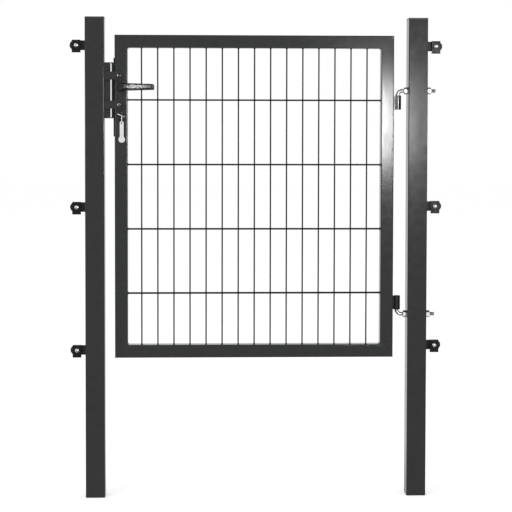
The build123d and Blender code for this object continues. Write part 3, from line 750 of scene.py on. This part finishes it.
def build_stop_bolts():
    """Button heads with a hexagon socket, and their shanks."""
    low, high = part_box("stop_bolts")
    x = middle_x("stop_bolts")
    radius = (high.x - low.x) / 2
    rows = [
        (-(high.y - low.y - STOP_BOLT_HEIGHT), STOP_BOLT_SHANK),
        (-HAIR, STOP_BOLT_SHANK),
    ]
    rows += button(radius, STOP_BOLT_HEIGHT, STOP_BOLT_EDGE, STOP_BOLT_ROUND)
    rows += socket(STOP_BOLT_HEIGHT, STOP_BOLT_SOCKET, STOP_BOLT_SOCKET_DEPTH)
    bolts = bmesh.new()
    for z in group_heights("stop_bolts", ARM_GAP):
        add_turned(bolts, (x, low.y + STOP_BOLT_HEIGHT, z), (0, -1, 0), rows)
    bolts = new_piece("stop_bolts_turned", bolts, "black_coat", "posts", BOLT_COAT)
    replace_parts(bolts, "stop_bolts")


def build_lock_screws():
    """Cross headed screws at the faceplate's ends and at the cylinder."""
    low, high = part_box("lock_faceplate")
    screws, upright, level = bmesh.new(), bmesh.new(), bmesh.new()
    for z, radius in (
        (low.z + PLATE_SCREW_INSET, PLATE_SCREW_RADIUS),
        (high.z - PLATE_SCREW_INSET, PLATE_SCREW_RADIUS),
        (middle_z("lock_cylinder"), CYLINDER_SCREW_RADIUS),
    ):
        head = [(distance, radius * share) for distance, share in COUNTERSUNK]
        add_turned(screws, (low.x, 0, z), (-1, 0, 0), head)
        reach = radius * CROSS_SHARE
        add_box(upright, (low.x, 0, z), (CROSS_DEPTH, CROSS_WIDTH, reach))
        add_box(level, (low.x, 0, z), (CROSS_DEPTH, reach, CROSS_WIDTH))
    screws = new_piece("lock_screws", screws, "lock_steel", "leaf")
    carve(screws, upright)
    carve(screws, level)


def build_keeper_screws():
    """Domed screws with a hexagon socket at the keeper's ends."""
    low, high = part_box("keeper")
    head = dome(KEEPER_SCREW_RADIUS, KEEPER_SCREW_HEIGHT, KEEPER_SCREW_EDGE)[:-2]
    rows = [(-SHANK_OVERLAP, KEEPER_SCREW_SHANK)] + head
    rows += socket(KEEPER_SCREW_HEIGHT, KEEPER_SCREW_SOCKET, KEEPER_SCREW_SOCKET_DEPTH)
    screws = bmesh.new()
    for z in (high.z - KEEPER_SCREW_INSET, low.z + KEEPER_SCREW_INSET):
        add_turned(screws, (low.x + KEEPER_SCREW_X, low.y, z), (0, -1, 0), rows)
    new_piece("keeper_screws", screws, "black_coat", "posts")


def build_grub_screws():
    """Grub screws that hold the levers on the spindle, seen from below."""
    rows = [(0.0, GRUB_RADIUS), (GRUB_DROP, GRUB_RADIUS), (GRUB_DROP, GRUB_RADIUS - GRUB_EDGE)]
    rows += socket(GRUB_DROP, GRUB_SOCKET, GRUB_SOCKET_DEPTH)
    z = middle_z("spindle")
    screws = bmesh.new()
    for rosette, y in (("rosette_front", -GRUB_Y), ("rosette_back", GRUB_Y)):
        add_turned(screws, (middle_x(rosette), y, z), (0, 0, -1), rows)
    new_piece("grub_screws", screws, "lock_steel", "handle")


# Stage

def add_math(tree, operation, *values):
    """A math node over sockets or plain numbers."""
    node = tree.nodes.new("ShaderNodeMath")
    node.operation = operation
    for place, value in zip(node.inputs, values):
        if isinstance(value, (int, float)):
            place.default_value = value
        else:
            tree.links.new(value, place)
    return node.outputs[0]


def smooth_step(tree, value, start, end):
    """0 before start and 1 after end."""
    step = tree.nodes.new("ShaderNodeMapRange")
    step.interpolation_type = "SMOOTHSTEP"
    step.inputs["From Min"].default_value = start
    step.inputs["From Max"].default_value = end
    tree.links.new(value, step.inputs["Value"])
    return step.outputs["Result"]


def clear_rays(tree, path):
    """1 for what the camera sees directly or through something clear."""
    camera, passed = path.outputs["Is Camera Ray"], path.outputs["Is Transmission Ray"]
    return add_math(tree, "MAXIMUM", camera, passed)


def build_world():
    """White sweep behind the gate, a dimmer room in front of it and above it."""
    world = bpy.data.worlds.new("studio")
    world.use_nodes = True
    tree = world.node_tree
    path = tree.nodes.new("ShaderNodeLightPath")
    coordinates = tree.nodes.new("ShaderNodeTexCoord")
    direction = tree.nodes.new("ShaderNodeSeparateXYZ")
    tree.links.new(coordinates.outputs["Generated"], direction.inputs["Vector"])
    behind = smooth_step(tree, direction.outputs["Y"], start=-0.2, end=0.4)
    high = smooth_step(tree, direction.outputs["Z"], start=0.3, end=0.7)
    sweep = add_math(tree, "MULTIPLY", behind, add_math(tree, "SUBTRACT", 1, high))
    walls = add_math(tree, "MULTIPLY_ADD", sweep, 1 - FRONT_LEVEL, FRONT_LEVEL)
    mirrored = add_math(
        tree,
        "ADD",
        add_math(tree, "MULTIPLY", walls, add_math(tree, "SUBTRACT", 1, high)),
        add_math(tree, "MULTIPLY", high, OVERHEAD_LEVEL),
    )
    glossy = add_math(tree, "MULTIPLY", path.outputs["Is Glossy Ray"], mirrored)
    seen = add_math(tree, "MAXIMUM", clear_rays(tree, path), glossy)
    lit = add_math(tree, "MULTIPLY", path.outputs["Is Diffuse Ray"], WORLD_LEVEL)
    background = tree.nodes["Background"]
    background.inputs["Color"].default_value = (1, 1, 1, 1)
    tree.links.new(add_math(tree, "MAXIMUM", seen, lit), background.inputs["Strength"])
    bpy.context.scene.world = world


def build_floor():
    """Pale floor that keeps the gate's shadow, dimmer in reflections where it lies in front."""
    material, tree, shader = new_material("floor")
    shader.inputs["Base Color"].default_value = (FLOOR_COLOUR, FLOOR_COLOUR, FLOOR_COLOUR, 1)
    shader.inputs["Roughness"].default_value = 1.0
    shader.inputs["Specular IOR Level"].default_value = 0.0
    shader.inputs["Emission Color"].default_value = (1, 1, 1, 1)
    path = tree.nodes.new("ShaderNodeLightPath")
    lift = add_math(tree, "MULTIPLY", clear_rays(tree, path), FLOOR_LIFT)
    tree.links.new(lift, shader.inputs["Emission Strength"])
    coordinates = tree.nodes.new("ShaderNodeTexCoord")
    place = tree.nodes.new("ShaderNodeSeparateXYZ")
    tree.links.new(coordinates.outputs["Object"], place.inputs["Vector"])
    behind = smooth_step(tree, place.outputs["Y"], start=-0.5, end=1.0)
    mirrored = tree.nodes.new("ShaderNodeEmission")
    level = add_math(tree, "MULTIPLY_ADD", behind, 1 - FRONT_LEVEL, FRONT_LEVEL)
    tree.links.new(level, mirrored.inputs["Strength"])
    mix = tree.nodes.new("ShaderNodeMixShader")
    tree.links.new(path.outputs["Is Glossy Ray"], mix.inputs["Fac"])
    tree.links.new(shader.outputs["BSDF"], mix.inputs[1])
    tree.links.new(mirrored.outputs["Emission"], mix.inputs[2])
    tree.links.new(mix.outputs["Shader"], tree.nodes["Material Output"].inputs["Surface"])
    mesh = bpy.data.meshes.new("floor")
    half = FLOOR_SIZE / 2
    corners = [(-half, -half), (half, -half), (half, half), (-half, half)]
    mesh.from_pydata([(x, y, -FLOOR_DROP) for x, y in corners], [], [(0, 1, 2, 3)])
    floor = bpy.data.objects.new("floor", mesh)
    floor.data.materials.append(material)
    bpy.context.scene.collection.objects.link(floor)


def add_area(name, place, target, size, power, sheen=False):
    """Oblong soft lamp aimed at a point; a sheen lamp shows only in gloss."""
    data = bpy.data.lights.new(name, "AREA")
    data.shape = "RECTANGLE"
    data.size = size[0]
    data.size_y = size[1]
    data.energy = power
    lamp = bpy.data.objects.new(name, data)
    lamp.location = place
    lamp.rotation_euler = (Vector(target) - Vector(place)).to_track_quat("-Z", "Y").to_euler()
    lamp.visible_camera = False
    lamp.visible_diffuse = not sheen
    bpy.context.scene.collection.objects.link(lamp)


def build_lamps():
    """Two broad soft lamps, and small ones for the bands of sheen in the photograph."""
    add_area("soft_left", (-3.4, -3.2, 3.6), GATE_MIDDLE, (2.4, 2.4), power=70)
    add_area("soft_right", (2.6, -3.4, 2.6), GATE_MIDDLE, (1.6, 2.2), power=35)
    for name, place, target, size, power in (
        ("stile_sheen", (0.44, -5.0, 1.18), (-0.1, 0, 1.18), (0.08, 0.44), 32),
        ("right_sheen", (1.45, -4.8, 1.24), HINGE_SIDE, (0.6, 0.36), 60),
        ("left_sheen", (-3.6, -3.6, 1.2), HINGE_SIDE, (0.9, 0.46), 25),
        ("tag_sheen", (-0.957, -1.05, 1.13), (-0.915, -0.06, 1.136), (0.05, 0.16), 0.016),
        ("lever_sheen", (-0.882, -1.05, 1.3), (-0.85, -0.05, 1.276), (0.06, 0.006), 0.19),
    ):
        add_area(name, place, target, size, power, sheen=True)


def build_camera():
    """Camera with the photograph's place, lens and framing."""
    data = bpy.data.cameras.new("camera")
    data.sensor_width = SENSOR
    data.lens = FOCAL_PIXELS / PHOTO_PIXELS * SENSOR
    data.shift_x = -CENTRE_SIDE_PIXELS / PHOTO_PIXELS
    data.shift_y = -CENTRE_DROP_PIXELS / PHOTO_PIXELS
    camera = bpy.data.objects.new("camera", data)
    camera.location = CAMERA_PLACE
    camera.rotation_euler = (pi / 2 + CAMERA_PITCH, CAMERA_ROLL, CAMERA_TURN)
    bpy.context.scene.collection.objects.link(camera)
    bpy.context.scene.camera = camera


bpy.context.scene.view_settings.view_transform = "Standard"
dress_nodes()
build_wires()
build_leaf_welds()
build_post_welds()
build_hooks()
build_clip_bolts()
build_stop_bolts()
build_lock_screws()
build_keeper_screws()
build_grub_screws()
build_world()
build_floor()
build_lamps()
build_camera()
